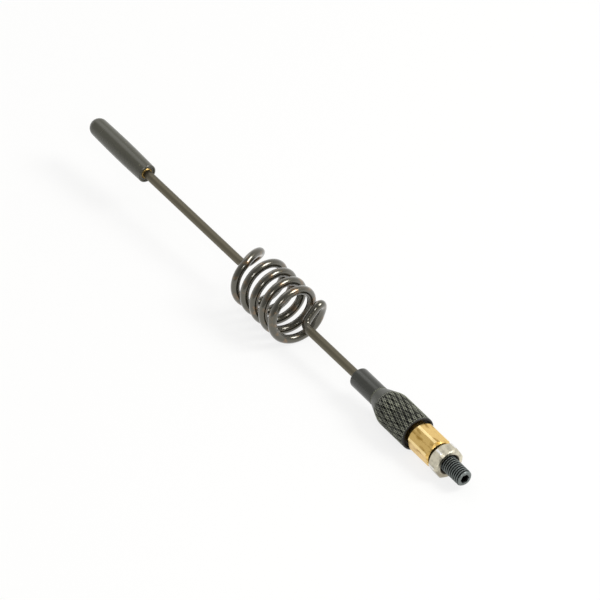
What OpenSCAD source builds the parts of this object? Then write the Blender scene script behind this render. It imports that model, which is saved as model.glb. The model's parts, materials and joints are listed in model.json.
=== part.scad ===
// Short mast aerial for a car roof, lying as it comes to rest.
// Millimetres. Each piece is drawn about the mast line, with zero at the coil's middle
// and plus toward the stud, and lay_down() then puts the whole mast on the floor.

/* [Wire] */
// Diameter of the mast wire
wire_d = 2.55; // [2:0.05:3]
// Radius of the coil, to the middle of the wire
coil_r = 7.4; // [6:0.1:9]
// Rise of the coil in one turn
coil_pitch = 4.65; // [3.4:0.05:6]
// Number of turns between the two cranked ends, counted to the same side
coil_turns = 5; // [3:1:8]
// Reach of the cranked legs from the mast line
leg_reach = 6.85; // [5:0.05:8]
// Length of the bend where a leg turns into the mast line
leg_bend = 2.5; // [1.8:0.1:3]
// Wire between the coil's middle and the mouth of the grip
lower_rod = 40.45; // [34:0.05:120]
// Wire between the coil's middle and the mouth of the tip cap
upper_rod = 65.8; // [40:0.1:300]

/* [Tip cap] */
// Length of the cap, from its mouth to the top of its round nose
cap_length = 28.1; // [20:0.1:40]
// Largest diameter of the cap, at the middle of its barrel
cap_d = 5.95; // [5.2:0.05:8]
// How much slimmer the barrel is at each end
cap_taper = 0.35; // [0.1:0.05:0.6]
// Diameter of the open mouth
cap_mouth_d = 4.4; // [4:0.1:4.8]
// Depth of the mouth in front of the bush
cap_mouth_depth = 0.4; // [0.2:0.05:4]
// Depth of the bore that holds the bush
cap_bore_depth = 12; // [8:0.5:16]

/* [Tip bush] */
// Outer diameter of the brass bush
bush_d = 3.4; // [3.2:0.1:3.8]
// Length of the bush
bush_length = 9; // [6:0.5:11]

/* [Grip] */
// Diameter of the neck
neck_d = 6.1; // [5.2:0.1:7]
// Length of the neck
neck_length = 10; // [6:0.1:20]
// Radius rolled on the neck's rim
neck_round = 0.6; // [0.2:0.1:1]
// Height of the small step down from the neck to the foot of the shoulder
shoulder_step = 0.15; // [0.05:0.05:0.4]
// Length from that step to where the shoulder's cone would meet the barrel
shoulder_length = 6.2; // [5:0.1:12]
// Radius that rounds the shoulder over into the barrel
shoulder_round = 6; // [2:0.5:10]
// Diameter over the points of the knurl
grip_d = 10.4; // [10.2:0.1:14]
// Length of the full-size knurled barrel
barrel_length = 12.65; // [8:0.05:30]
// Number of knurl diamonds round the barrel, an even number
knurl_count = 42; // [24:2:48]
// Length of one knurl diamond along the barrel
knurl_pitch = 2.33; // [1.6:0.01:3.2]
// Depth of the knurl where two deep grooves cross
knurl_depth = 0.4; // [0.15:0.05:0.45]
// Length of shoulder that the knurl runs out on
knurl_run_out = 2.8; // [0:0.1:5]
// Bevel at the open end of the barrel
barrel_bevel = 0.25; // [0.1:0.05:0.4]
// Diameter of the recess in the open end
recess_d = 9.3; // [8.8:0.1:9.4]
// Depth of the recess
recess_depth = 1.3; // [0.6:0.1:3]

/* [Adapter] */
// Width of the adapter across its flats
hex_af = 8; // [7:0.5:8]
// Length of the six-sided body
hex_length = 9.5; // [6:0.1:16]
// Diameter to which the six corners are turned
hex_corner_d = 8.8; // [8.6:0.05:9.2]
// Gap between the open end of the barrel and the six-sided body
hex_stand_off = 0.65; // [0.2:0.05:1.5]
// Diameter of the collar that seats in the recess
collar_d = 7.2; // [6.4:0.1:7.6]
// Diameter of the spigot pressed into the grip
spigot_d = 5.6; // [5:0.1:6]
// Length of the spigot
spigot_length = 11; // [6:0.5:13]
// Depth of the hole that takes the end of the wire
wire_socket = 6; // [3:0.5:8]
// Bite of the end bevels of adapter and nut into the flats
hex_bevel = 0.25; // [0.05:0.05:0.4]
// Angle of those end bevels
bevel_angle = 45; // [25:1:50]

/* [Stud and nut] */
// Outer diameter of the stud's thread
stud_d = 4.9; // [4:0.1:5]
// Length of the stud
stud_length = 20; // [16:1:22]
// Length of stud that stands out of the adapter
stud_out = 12; // [9:0.1:13]
// Width of the stud's six-sided key hole across its flats
key_af = 2.5; // [2:0.1:3]
// Depth of the key hole
key_depth = 3; // [2:0.5:5]
// Bevel on the ends of the stud
stud_bevel = 0.45; // [0.2:0.05:0.8]
// Width of the lock nut across its flats
nut_af = 8.6; // [7.5:0.1:10]
// Thickness of the lock nut
nut_thick = 3.9; // [3:0.1:5]
// Gap left between the adapter and the lock nut
nut_gap = 0.95; // [0.2:0.05:1.5]
// Depth of the countersink at each end of the lock nut's hole
nut_sink = 0.55; // [0.2:0.05:0.8]
// Turn of the lock nut on the stud from the coil's first leg
nut_turn = 25; // [0:1:59]
// Turn of the adapter from the coil's first leg
hex_turn = 8; // [0:1:59]

/* [Fits] */
// Clearance round the wire and the pressed parts, on the radius
seat_gap = 0.02; // [0.01:0.01:0.1]
// Clearance between the stud's thread and what runs on it, on the radius
thread_gap = 0.05; // [0.02:0.01:0.1]

/* [Hidden] */

round_steps = 96;
wire_sides = 16;
wire_r = wire_d / 2;
past = 0.5;

// Positions along the mast line
coil_half = coil_pitch * coil_turns / 2;
cap_mouth_z = -upper_rod;
cap_nose_z = cap_mouth_z - cap_length;
neck_z = lower_rod;
shoulder_z = neck_z + neck_length;
barrel_z = shoulder_z + shoulder_length;
barrel_end_z = barrel_z + barrel_length;
recess_z = barrel_end_z - recess_depth;
hex_z = barrel_end_z + hex_stand_off;
hex_end_z = hex_z + hex_length;
nut_z = hex_end_z + nut_gap;
stud_end_z = hex_end_z + stud_out;
stud_start_z = stud_end_z - stud_length;
spigot_z = recess_z - spigot_length;
wire_end_z = spigot_z + wire_socket;
bush_z = cap_mouth_z - cap_mouth_depth;

// Shape of the two cranked ends, the upper end first and the lower end second
UPPER = 0;
LOWER = 1;
end_side = [-1, 1];
// Where each end leaves the coil and where its leg lies, as angles round the mast line
end_turn = [85, 360 * coil_turns - 44];
leg_angle = [6, 7];
// How much further each leg reaches, and how far its outer end lies outside the coil
leg_more = [-0.3, 0.35];
leg_out = [3.05, 1.45];
// How much further out each leg meets the mast line, and how far that point leans from it
leg_rake = [1.85, 0.65];
line_lean = [0.33, -0.14];
// Length of each leg's outer end that is part of the hook, and the hook's pull on it
leg_hook = [2.1, 2.45];
leg_pull = [4, 3.1];
// Pull of the hook on the coil, and how far it swells outward
coil_pull = [4.4, 4.6];
hook_swell = [1.35, 0.65];
// Points on each bend, on each hook and on one turn of the coil
bend_steps = 5;
hook_steps = 10;
turn_steps = 24;

function unit(v) = v / norm(v);

function coil_point(a) = [coil_r * cos(a), coil_r * sin(a), coil_pitch * a / 360 - coil_half];

function coil_way(a) = unit([-coil_r * sin(a), coil_r * cos(a), coil_pitch / (2 * PI)]);

// A round bend in the corner b of the path a, b, c
function bend(a, b, c, size) =
    let (start = b + unit(a - b) * size, end = b + unit(c - b) * size)
    [for (i = [0 : bend_steps])
        let (k = i / bend_steps)
        pow(1 - k, 2) * start + 2 * k * (1 - k) * b + pow(k, 2) * end];

// A curve from a to d that leaves a toward b and comes to d from c
function curve(a, b, c, d) =
    [for (i = [1 : hook_steps - 1])
        let (k = i / hook_steps)
        pow(1 - k, 3) * a + 3 * k * pow(1 - k, 2) * b + 3 * pow(k, 2) * (1 - k) * c + pow(k, 3) * d];

// A cranked end of the coil, from the mast line out to the coil
function cranked_end(end) =
    let (side = end_side[end],
         leg_z = side * (coil_half + leg_out[end]),
         reach = leg_reach + leg_more[end],
         on_line = [line_lean[end], 0, leg_z + side * leg_rake[end]],
         corner = [reach * cos(leg_angle[end]), reach * sin(leg_angle[end]), leg_z],
         out = unit(corner - on_line),
         start = corner - out * leg_hook[end],
         on_coil = coil_point(end_turn[end]),
         to_coil = on_coil + side * (coil_pull[end] * coil_way(end_turn[end]) + [0, 0, hook_swell[end]]))
    concat(
        bend(on_line + [0, 0, side * leg_reach], on_line, start, leg_bend),
        [start],
        curve(start, start + out * leg_pull[end], to_coil, on_coil));

function reversed(list) = [for (i = [len(list) - 1 : -1 : 0]) list[i]];

// Turn of the mast about its own line as it comes to rest
roll_to_rest = 125.7;

// The coil's points lie so that the middle between two of them is lowest, and it rests on both
turn_step = 360 / turn_steps;
first_step = ceil((end_turn[UPPER] + roll_to_rest) / turn_step);
last_step = floor((end_turn[LOWER] + roll_to_rest) / turn_step) - 1;
coil = concat(
    [coil_point(end_turn[UPPER])],
    [for (i = [first_step : last_step]) coil_point((i + 0.5) * turn_step - roll_to_rest)],
    [coil_point(end_turn[LOWER])]);
wire_start_z = bush_z - bush_length;
straight_past = 1;
wire_path = concat(
    [[0, 0, wire_start_z], [0, 0, cap_mouth_z + straight_past]],
    cranked_end(UPPER),
    coil,
    reversed(cranked_end(LOWER)),
    [[0, 0, neck_z - straight_past], [0, 0, wire_end_z]]);

// The direction of the path at its point i
function path_way(path, i) =
    let (before = max(i - 1, 0), after = min(i + 1, len(path) - 1))
    unit(path[after] - path[before]);

// A side direction carried along the path without twist
function side_ways(path) =
    [for (i = 0, side = [1, 0, 0];
          i < len(path);
          side = unit(side - path_way(path, min(i + 1, len(path) - 1))
                 * (side * path_way(path, min(i + 1, len(path) - 1)))),
          i = i + 1)
        side];

// The ring of points round each point of the path
function wire_rings(path) =
    let (sides = side_ways(path))
    [for (i = [0 : len(path) - 1])
        let (way = path_way(path, i), u = sides[i], v = cross(way, u))
        for (j = [0 : wire_sides - 1])
            path[i] + wire_r * (u * cos(360 * j / wire_sides) + v * sin(360 * j / wire_sides))];

// Faces between rings of points, with a cap at each end
function tube_faces(rings, sides) = concat(
    [[for (j = [0 : sides - 1]) j]],
    [for (i = [0 : rings - 2], j = [0 : sides - 1])
        let (a = i * sides + j, b = i * sides + (j + 1) % sides)
        each [[a, a + sides, b], [b, a + sides, b + sides]]],
    [[for (j = [sides - 1 : -1 : 0]) (rings - 1) * sides + j]]);

// Radius of the smooth shoulder, a cone that an arc rounds over into the barrel
grip_r = grip_d / 2;
shoulder_foot_r = neck_d / 2 - shoulder_step;
shoulder_angle = atan((grip_r - shoulder_foot_r) / shoulder_length);
arc_end_z = barrel_z + shoulder_round * tan(shoulder_angle / 2);
arc_start_z = arc_end_z - shoulder_round * sin(shoulder_angle);
function shoulder_radius(z) =
    z >= arc_end_z ? grip_r
    : z > arc_start_z ? grip_r - shoulder_round + sqrt(pow(shoulder_round, 2) - pow(arc_end_z - z, 2))
    : grip_r - (barrel_z - z) * tan(shoulder_angle);

// Rows of the grip's outside: the plain shoulder, then half a knurl diamond to each row
knurl_row = knurl_pitch / 2;
knurl_last_z = barrel_end_z - barrel_bevel;
knurl_rows = floor((knurl_last_z - barrel_z + knurl_run_out) / knurl_row);
knurl_from_z = knurl_last_z - knurl_rows * knurl_row;
shoulder_rows = 3;
shoulder_row_z = [for (i = [0 : shoulder_rows - 1])
    shoulder_z + (knurl_from_z - shoulder_z) * i / shoulder_rows];
knurl_row_z = [for (i = [0 : knurl_rows]) knurl_from_z + i * knurl_row];
grip_columns = 2 * knurl_count;

// Hollows lie where two grooves cross, and every second groove each way is shallower
half_deep = 0.7;
function groove_share(number) = number % 2 == 0 ? 1 : half_deep;
function knurl_radius(z, row, column) =
    let (smooth = shoulder_radius(z),
         crossing = (row + column) % 2 == 0 && row > 0 && row < knurl_rows,
         share = groove_share((row + column) / 2) * groove_share((column - row) / 2 + knurl_count))
    crossing ? smooth - knurl_depth * share : smooth;

function grip_ring(z, radii) =
    [for (j = [0 : grip_columns - 1])
        [radii[j] * cos(360 * j / grip_columns), radii[j] * sin(360 * j / grip_columns), z]];

grip_points = concat(
    [for (z = shoulder_row_z)
        each grip_ring(z, [for (j = [0 : grip_columns - 1]) shoulder_radius(z)])],
    [for (i = [0 : knurl_rows])
        let (z = knurl_row_z[i])
        each grip_ring(z, [for (j = [0 : grip_columns - 1]) knurl_radius(z, i, j)])],
    grip_ring(barrel_end_z, [for (j = [0 : grip_columns - 1]) grip_r - barrel_bevel]));
grip_rings = shoulder_rows + knurl_rows + 2;

// Each four-sided patch is split along the bottom of the groove that crosses it
function grip_faces() = concat(
    [[for (j = [0 : grip_columns - 1]) j]],
    [for (i = [0 : grip_rings - 2], j = [0 : grip_columns - 1])
        let (a = i * grip_columns + j,
             b = i * grip_columns + (j + 1) % grip_columns,
             c = a + grip_columns,
             d = b + grip_columns,
             hollow_at_a = (i - shoulder_rows + j) % 2 == 0)
        each hollow_at_a ? [[a, c, d], [a, d, b]] : [[a, c, b], [b, c, d]]],
    [[for (j = [grip_columns - 1 : -1 : 0]) (grip_rings - 1) * grip_columns + j]]);

// The mast comes to rest on its coil and on the edge of its grip
rest_turn = 360 * coil_turns + turn_step / 2 - roll_to_rest;
coil_rest_z = coil_pitch * rest_turn / 360 - coil_half;
coil_rest_r = (coil_r + wire_r) * cos(turn_step / 2);
rest_tilt = atan((coil_rest_r - grip_r) / (knurl_last_z - coil_rest_z));
rest_height = grip_r * cos(rest_tilt) + knurl_last_z * sin(rest_tilt);
stud_end_x = stud_end_z * cos(rest_tilt) + (stud_d / 2 - stud_bevel) * sin(rest_tilt);
nose_x = cap_nose_z * cos(rest_tilt);
middle_x = (stud_end_x + nose_x) / 2;

module lay_down() {
    translate([-middle_x, 0, rest_height])
        rotate([0, 90 + rest_tilt, 0])
            rotate([0, 0, roll_to_rest])
                children();
}

// A round bar or hole from one place on the mast line to another
module bar(from_z, to_z, diameter) {
    translate([0, 0, from_z])
        cylinder(h = to_z - from_z, d = diameter, $fn = round_steps);
}

// A six-sided bar
module six_sided(from_z, to_z, across_flats, turn) {
    translate([0, 0, from_z])
        rotate([0, 0, turn])
            cylinder(h = to_z - from_z, d = across_flats / cos(30), $fn = 6);
}

// The bar's outside with both ends bevelled, to trim the corners of a six-sided bar
module bevelled_bar(from_z, to_z, end_d, full_d) {
    rise = (full_d - end_d) / 2 * tan(bevel_angle);
    rotate_extrude($fn = round_steps)
        polygon([
            [0, from_z],
            [end_d / 2, from_z],
            [full_d / 2, from_z + rise],
            [full_d / 2, to_z - rise],
            [end_d / 2, to_z],
            [0, to_z]]);
}

// A cone that widens a hole toward one side of a face
module countersink(face_z, side, hole_d) {
    translate([0, 0, face_z])
        mirror([0, 0, side > 0 ? 0 : 1])
            translate([0, 0, -nut_sink])
                cylinder(
                    h = nut_sink + past,
                    d1 = hole_d,
                    d2 = hole_d + 2 * (nut_sink + past),
                    $fn = round_steps);
}

module mast_wire() {
    color("#4a463d")
        lay_down()
            polyhedron(points = wire_rings(wire_path), faces = tube_faces(len(wire_path), wire_sides));
}

// Half outline of the cap: a slim barrel, a round nose and a bevelled mouth
module cap_outline() {
    end_r = (cap_d - cap_taper) / 2;
    nose_z = cap_nose_z + end_r;
    barrel_length = cap_mouth_z - nose_z;
    mouth_bevel = 0.25;
    nose_steps = 12;
    barrel_steps = 8;
    nose = [for (i = [0 : nose_steps])
        [end_r * sin(90 * i / nose_steps), nose_z - end_r * cos(90 * i / nose_steps)]];
    barrel = [for (i = [1 : barrel_steps - 1])
        [end_r + cap_taper / 2 * sin(180 * i / barrel_steps), nose_z + barrel_length * i / barrel_steps]];
    mouth = [[end_r, cap_mouth_z - mouth_bevel], [end_r - mouth_bevel, cap_mouth_z], [0, cap_mouth_z]];
    polygon(concat(nose, barrel, mouth));
}

module tip_cap() {
    color("#3d3d38")
        lay_down()
            difference() {
                rotate_extrude($fn = round_steps)
                    cap_outline();
                bar(bush_z, cap_mouth_z + past, cap_mouth_d);
                bar(cap_mouth_z - cap_bore_depth, bush_z + past, bush_d + 2 * seat_gap);
            }
}

module tip_bush() {
    color("#a98a4a")
        lay_down()
            difference() {
                bevelled_bar(bush_z - bush_length, bush_z + cap_mouth_depth / 2, bush_d - 0.4, bush_d);
                bar(bush_z - bush_length - past, bush_z + cap_mouth_depth, wire_d + 2 * seat_gap);
            }
}

// Half outline of the neck, with its rolled rim
module neck_outline() {
    neck_r = neck_d / 2;
    round_points = 6;
    rim = [for (i = [0 : round_points])
        [neck_r - neck_round * (1 - sin(90 * i / round_points)),
         neck_z + neck_round * (1 - cos(90 * i / round_points))]];
    core = [[neck_r, shoulder_z], [wire_d, shoulder_z], [wire_d, barrel_z], [0, barrel_z]];
    polygon(concat([[0, neck_z]], rim, core));
}

module knurled_grip() {
    color("#26272a")
        lay_down()
            difference() {
                union() {
                    rotate_extrude($fn = round_steps)
                        neck_outline();
                    polyhedron(points = grip_points, faces = grip_faces());
                }
                bar(neck_z - past, spigot_z + past, wire_d + 2 * seat_gap);
                bar(spigot_z, recess_z + past, spigot_d + 2 * seat_gap);
                bar(recess_z, barrel_end_z + past, recess_d);
            }
}

module hex_adapter() {
    color("#c9a24a")
        lay_down()
            difference() {
                union() {
                    intersection() {
                        six_sided(hex_z, hex_end_z, hex_af, hex_turn);
                        bevelled_bar(hex_z, hex_end_z, hex_af - 2 * hex_bevel, hex_corner_d);
                    }
                    bar(recess_z, hex_z + past, collar_d);
                    bar(spigot_z, recess_z + past, spigot_d);
                }
                bar(spigot_z - past, wire_end_z, wire_d + 2 * seat_gap);
                bar(stud_start_z, hex_end_z + past, stud_d + 2 * thread_gap);
            }
}

module threaded_stud() {
    color("#2f333a")
        lay_down()
            difference() {
                rotate_extrude($fn = round_steps)
                    polygon([
                        [0, stud_start_z],
                        [stud_d / 2 - stud_bevel, stud_start_z],
                        [stud_d / 2, stud_start_z + stud_bevel],
                        [stud_d / 2, stud_end_z - stud_bevel],
                        [stud_d / 2 - stud_bevel, stud_end_z],
                        [0, stud_end_z]]);
                six_sided(stud_end_z - key_depth, stud_end_z + past, key_af, nut_turn);
            }
}

module lock_nut() {
    nut_end_z = nut_z + nut_thick;
    hole_d = stud_d + 2 * thread_gap;
    color("#b9b7b0")
        lay_down()
            difference() {
                intersection() {
                    six_sided(nut_z, nut_end_z, nut_af, nut_turn);
                    bevelled_bar(nut_z, nut_end_z, nut_af - 2 * hex_bevel, nut_af / cos(30) + past);
                }
                bar(nut_z - past, nut_end_z + past, hole_d);
                countersink(nut_z, -1, hole_d);
                countersink(nut_end_z, 1, hole_d);
            }
}

mast_wire();
tip_cap();
tip_bush();
knurled_grip();
hex_adapter();
threaded_stud();
lock_nut();
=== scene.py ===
"""A short mast aerial for a car roof: the looks of each piece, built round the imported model.

Every piece is drawn in the mast's own frame, with z along the mast line toward the stud
and zero at the middle of the coil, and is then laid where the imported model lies.
Lengths are in metres.
"""

import json
import math

import bmesh
import bpy
from mathutils import Matrix, Vector, noise


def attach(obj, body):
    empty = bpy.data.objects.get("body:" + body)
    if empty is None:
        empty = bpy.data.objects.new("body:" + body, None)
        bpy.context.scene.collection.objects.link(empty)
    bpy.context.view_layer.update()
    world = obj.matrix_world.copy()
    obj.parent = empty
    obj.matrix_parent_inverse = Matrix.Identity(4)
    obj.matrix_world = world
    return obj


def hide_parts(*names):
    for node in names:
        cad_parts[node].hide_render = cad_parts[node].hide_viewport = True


bl_info = {
    "name": "Mast Aerial",
    "version": (1, 0, 0),
    "blender": (4, 5, 0),
    "location": "View3D > Sidebar > Mast Aerial",
    "description": "Builds a short car mast aerial with its coil, knurled grip and threaded stud",
    "category": "Add Mesh",
}

MM = 0.001

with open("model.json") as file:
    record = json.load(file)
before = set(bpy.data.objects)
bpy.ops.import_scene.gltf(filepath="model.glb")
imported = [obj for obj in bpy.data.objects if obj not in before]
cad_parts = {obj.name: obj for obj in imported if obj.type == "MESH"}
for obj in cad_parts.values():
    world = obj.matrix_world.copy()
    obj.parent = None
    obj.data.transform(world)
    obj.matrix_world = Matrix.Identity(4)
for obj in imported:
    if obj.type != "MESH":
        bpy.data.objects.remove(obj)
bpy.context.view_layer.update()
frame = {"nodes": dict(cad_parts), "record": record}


# Where the mast lies

# Wire between the middle of the coil and the mouth of the grip
LOWER_ROD = 40.45 * MM
# Angle round the mast line from level to the coil's first leg
LEG_ROLL = math.radians(35.7)


def mast_frame():
    """The matrix that lays the mast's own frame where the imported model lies."""
    mounts = {mount["name"]: mount for mount in frame["record"]["mounts"]}
    along = Vector(mounts["lock_nut_face"]["axis"]).normalized()
    on_line = Vector(mounts["lock_nut_face"]["pos_m"])
    level = Vector((0, 1, 0))
    upright = along.cross(level)
    side = math.cos(LEG_ROLL) * level + math.sin(LEG_ROLL) * upright
    turn = Matrix((side, along.cross(side), along)).transposed().to_4x4()
    grip = frame["nodes"]["knurled_grip"].data.vertices
    grip_mouth = min((vertex.co - on_line).dot(along) for vertex in grip)
    return Matrix.Translation(on_line + along * (grip_mouth - LOWER_ROD)) @ turn


MAST = mast_frame()


def span(node):
    """Where a node starts and ends along the mast line."""
    to_mast = MAST.inverted()
    places = [(to_mast @ vertex.co).z for vertex in frame["nodes"][node].data.vertices]
    return min(places), max(places)


def reach(node):
    """How far a node stands out from the mast line."""
    to_mast = MAST.inverted()
    return max((to_mast @ vertex.co).xy.length for vertex in frame["nodes"][node].data.vertices)


# Sizes and colours that a user would change


def length(name, description, default):
    """A length in metres."""
    return bpy.props.FloatProperty(
        name=name, description=description, default=default, unit="LENGTH", precision=5)


def angle(name, description, degrees):
    """An angle, whose default is given in degrees."""
    return bpy.props.FloatProperty(
        name=name, description=description, default=math.radians(degrees), subtype="ANGLE")


def whole(name, description, default, least):
    """A whole number."""
    return bpy.props.IntProperty(
        name=name, description=description, default=default, min=least)


def colour(name, description, default):
    """A colour in linear light."""
    return bpy.props.FloatVectorProperty(
        name=name, description=description, default=default, subtype="COLOR", min=0, max=1)


def number(name, description, default):
    """A number of any other kind."""
    return bpy.props.FloatProperty(name=name, description=description, default=default)


class WireSizes(bpy.types.PropertyGroup):
    """Sizes of the mast wire and its coil."""

    diameter: length("Wire diameter", "Diameter of the wire", 2.55 * MM)
    coil_radius: length("Coil radius", "Radius of the coil to the middle of the wire", 7.32 * MM)
    coil_pitch: length("Coil pitch", "Rise of the coil in one turn", 4.65 * MM)
    coil_turns: whole("Coil turns", "Turns between the two cranked legs", 5, least=1)
    leg_reach: length("Leg reach", "Reach of the cranked legs from the mast line", 6.85 * MM)
    leg_bend: length("Leg bend", "Size of the bend from a leg into the mast line", 2.5 * MM)


class GripSizes(bpy.types.PropertyGroup):
    """Sizes of the grip and its knurl."""

    neck_diameter: length("Neck diameter", "Diameter of the neck", 6.1 * MM)
    neck_length: length("Neck length", "Length of the neck", 10 * MM)
    neck_round: length("Neck rim", "Radius rolled on the rim of the neck", 0.6 * MM)
    shoulder_step: length("Shoulder step", "Step down from the neck to the shoulder", 0.15 * MM)
    shoulder_length: length("Shoulder length", "Length of the shoulder's cone", 6.2 * MM)
    shoulder_round: length("Shoulder round", "Radius between the cone and the barrel", 6.0 * MM)
    knurl_count: whole("Knurl count", "Diamonds round the barrel, an even number", 42, least=12)
    knurl_pitch: length("Knurl pitch", "Length of one knurl diamond", 2.33 * MM)
    knurl_depth: length("Knurl depth", "Depth of the deepest hollows", 0.4 * MM)
    knurl_run_out: length("Knurl run-out", "Length of shoulder that is knurled", 2.8 * MM)
    bevel: length("Barrel bevel", "Bevel at the open end of the barrel", 0.25 * MM)
    recess_diameter: length("Recess diameter", "Diameter of the recess in the open end", 9.3 * MM)
    recess_depth: length("Recess depth", "Depth of the recess", 1.3 * MM)


class FittingSizes(bpy.types.PropertyGroup):
    """Sizes of the cap, the adapter, the stud and the nut."""

    cap_taper: length("Cap taper", "How much slimmer the cap is at each end", 0.35 * MM)
    cap_mouth: length("Cap mouth", "Diameter of the mouth of the cap", 4.4 * MM)
    cap_mouth_depth: length("Mouth depth", "Depth of the mouth in front of the bush", 0.4 * MM)
    cap_bore_depth: length("Cap bore depth", "Depth of the bore that holds the bush", 12 * MM)
    bush_diameter: length("Bush diameter", "Outer diameter of the bush", 3.4 * MM)
    hex_flats: length("Adapter flats", "Width of the adapter across its flats", 8.0 * MM)
    hex_length: length("Adapter length", "Length of the adapter's six-sided body", 9.5 * MM)
    hex_corners: length("Adapter corners", "Diameter over the turned corners", 8.8 * MM)
    hex_bevel: length("Hex bevel", "Bite of the end bevels into the flats", 0.25 * MM)
    bevel_angle: angle("Bevel angle", "Angle of the end bevels", 45)
    hex_turn: angle("Adapter turn", "Turn of the adapter from the coil's first leg", 8)
    nut_flats: length("Nut flats", "Width of the nut across its flats", 8.6 * MM)
    nut_sink: length("Nut countersink", "Depth of the countersinks in the nut", 0.55 * MM)
    nut_turn: angle("Nut turn", "Turn of the nut from the coil's first leg", 25)
    collar_diameter: length("Collar diameter", "Diameter of the adapter's collar", 7.2 * MM)
    spigot_diameter: length("Spigot diameter", "Diameter of the adapter's spigot", 5.6 * MM)
    thread_diameter: length("Thread diameter", "Outer diameter of the thread", 4.9 * MM)
    thread_pitch: length("Thread pitch", "Rise of the thread in one turn", 0.8 * MM)
    thread_gap: length("Thread gap", "Clearance round the thread", 0.05 * MM)
    stud_bevel: length("Stud bevel", "Bevel on the ends of the stud", 0.45 * MM)
    key_flats: length("Key flats", "Width of the key hole across flats", 2.5 * MM)
    key_depth: length("Key depth", "Depth of the key hole", 3.0 * MM)


class FinishColours(bpy.types.PropertyGroup):
    """Base colours of the finishes."""

    bronze: colour("Bronze plate", "Dark bronze plating of the wire", (0.15, 0.134, 0.096))
    cap_black: colour("Cap black", "Black anodising of the cap", (0.06, 0.058, 0.036))
    grip_black: colour("Grip black", "Black anodising of the grip", (0.05, 0.052, 0.036))
    brass: colour("Brass", "Machined brass", (0.84, 0.575, 0.2))
    brass_stain: colour("Brass stain", "Stains on the brass", (0.47, 0.28, 0.06))
    oxide: colour("Black oxide", "Black oxide of the stud", (0.175, 0.183, 0.172))
    nickel: colour("Nickel", "Nickel plating of the nut", (0.73, 0.68, 0.535))


class StageSettings(bpy.types.PropertyGroup):
    """Camera, lights and floor."""

    azimuth: angle("Azimuth", "Turn of the view round the aerial", 56.04)
    elevation: angle("Elevation", "Height of the view above level", 36.07)
    distance: length("Distance", "From the coil to the camera", 2.0)
    lens: number("Lens", "Focal length in millimetres on a 36 mm sensor", 432)
    view_right: length("View right", "How far right of the coil the camera looks", 6.53 * MM)
    view_down: length("View down", "How far below the coil the camera looks", 0.54 * MM)
    key_power: number("Key power", "Power of the key light in watts", 9.0)
    front_power: number("Front power", "Power of the light beside the camera in watts", 2.0)
    top_power: number("Top power", "Power of the light above the tip in watts", 0.8)
    bright_side: number("Bright side", "Level of the room's light behind the aerial", 1.0)
    dark_side: number("Dark side", "Level of the room's light on the camera's side", 0.28)


# Shader maths


class Signal:
    """One output of a shader node. Arithmetic on it adds Math nodes to the same tree."""

    def __init__(self, nodes, socket):
        self.nodes = nodes
        self.socket = socket

    def maths(self, operation, *values):
        """Adds a Math node that works on the values in turn."""
        return self.nodes.node("ShaderNodeMath", {"operation": operation}, dict(enumerate(values)))

    def __add__(self, other):
        return self.maths("ADD", self, other)

    def __sub__(self, other):
        return self.maths("SUBTRACT", self, other)

    def __rsub__(self, other):
        return self.maths("SUBTRACT", other, self)

    def __mul__(self, other):
        return self.maths("MULTIPLY", self, other)

    def __gt__(self, other):
        return self.maths("GREATER_THAN", self, other)

    def __lt__(self, other):
        return self.maths("LESS_THAN", self, other)

    __radd__ = __add__


class Nodes:
    """A node tree and the ways to add to it."""

    def __init__(self, tree):
        self.tree = tree

    def put(self, socket, value):
        """Links a signal to a socket, or sets the socket to a value."""
        if isinstance(value, Signal):
            self.tree.links.new(value.socket, socket)
        elif isinstance(value, tuple) and len(value) == 3 and socket.type == "RGBA":
            socket.default_value = (*value, 1)
        else:
            socket.default_value = value

    def node(self, kind, settings, values, output=0):
        """Adds a node: its settings first, then the values or links of its sockets."""
        node = self.tree.nodes.new(kind)
        for name, setting in settings.items():
            setattr(node, name, setting)
        for name, value in values.items():
            self.put(node.inputs[name], value)
        return Signal(self, node.outputs[output])

    def ramp(self, signal, *stops):
        """Maps a signal through a grey ramp, whose stops are pairs of place and grey level."""
        shown = self.node("ShaderNodeValToRGB", {}, {"Fac": signal}, "Color")
        elements = shown.socket.node.color_ramp.elements
        for element, (place, level) in zip(elements, stops):
            element.position = place
            element.color = (level, level, level, 1)
        return shown

    def mix(self, amount, low, high):
        """A colour between two colours."""
        values = {"Factor": amount, 6: low, 7: high}
        return self.node("ShaderNodeMix", {"data_type": "RGBA"}, values, 2)


# Noise patterns: cells to a metre, how much detail each has, and how it is drawn out along
# the mast's own axes, where a small number gives a long mark
PATTERNS = {
    "wire_drawing": (900, 2, (1, 1, 0.05)),
    "bar_drawing": (1400, 3, (1, 1, 0.06)),
    "turning": (1500, 2, (0.03, 0.03, 1)),
    "chatter": (1500, 2, (0.1, 0.1, 1)),
    "scratches": (1600, 3, (0.25, 1, 0.08)),
    "blotches": (620, 4, (1, 1, 0.5)),
    "clouds": (420, 4, None),
    "fine_clouds": (700, 4, None),
    "wear": (140, 4, None),
    "crest_wear_and_sheen": (260, 3, None),
    "rough_edge": (500, 2, None),
    "flux": (900, 3, None),
    "speck_groups": (90, 3, None),
}
# Height of the fine relief that patterns give a surface
RELIEF = 0.02 * MM


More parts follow.
